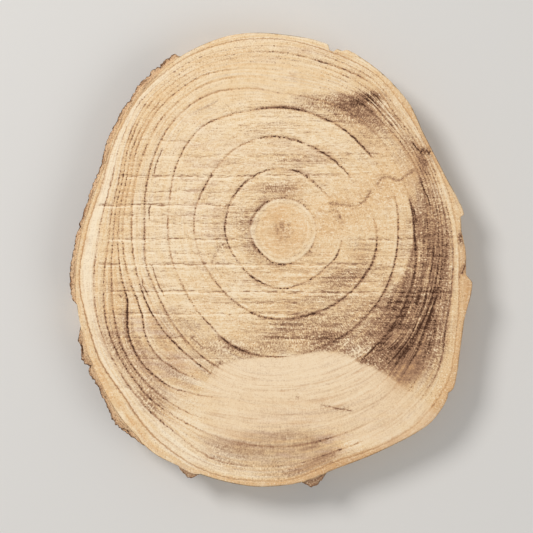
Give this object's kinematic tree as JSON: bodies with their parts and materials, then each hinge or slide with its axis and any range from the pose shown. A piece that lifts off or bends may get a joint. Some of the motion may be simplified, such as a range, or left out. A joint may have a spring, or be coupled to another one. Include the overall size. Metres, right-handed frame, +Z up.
{
  "type": "wood slice",
  "caption": "Thin round slice sawn across a small tree trunk, with growth rings, saw marks and strips of bark on its rim.",
  "frame": {"origin": "on the surface it lies on, under the middle of the outline's box", "axes": "+Z up out of the sawn face, +Y along the longer width (up in the picture), +X across it (right in the picture)"},
  "size_m": [0.1216, 0.1374, 0.014],
  "materials": {
    "wood": "rough sawn end grain, dry and unfinished, matt, with brown stains",
    "bark": "rough dry brown bark with a tan inner layer, matt"
  },
  "bodies": {
    "root": {"wood_slice": "wood"}
  },
  "joints": []
}
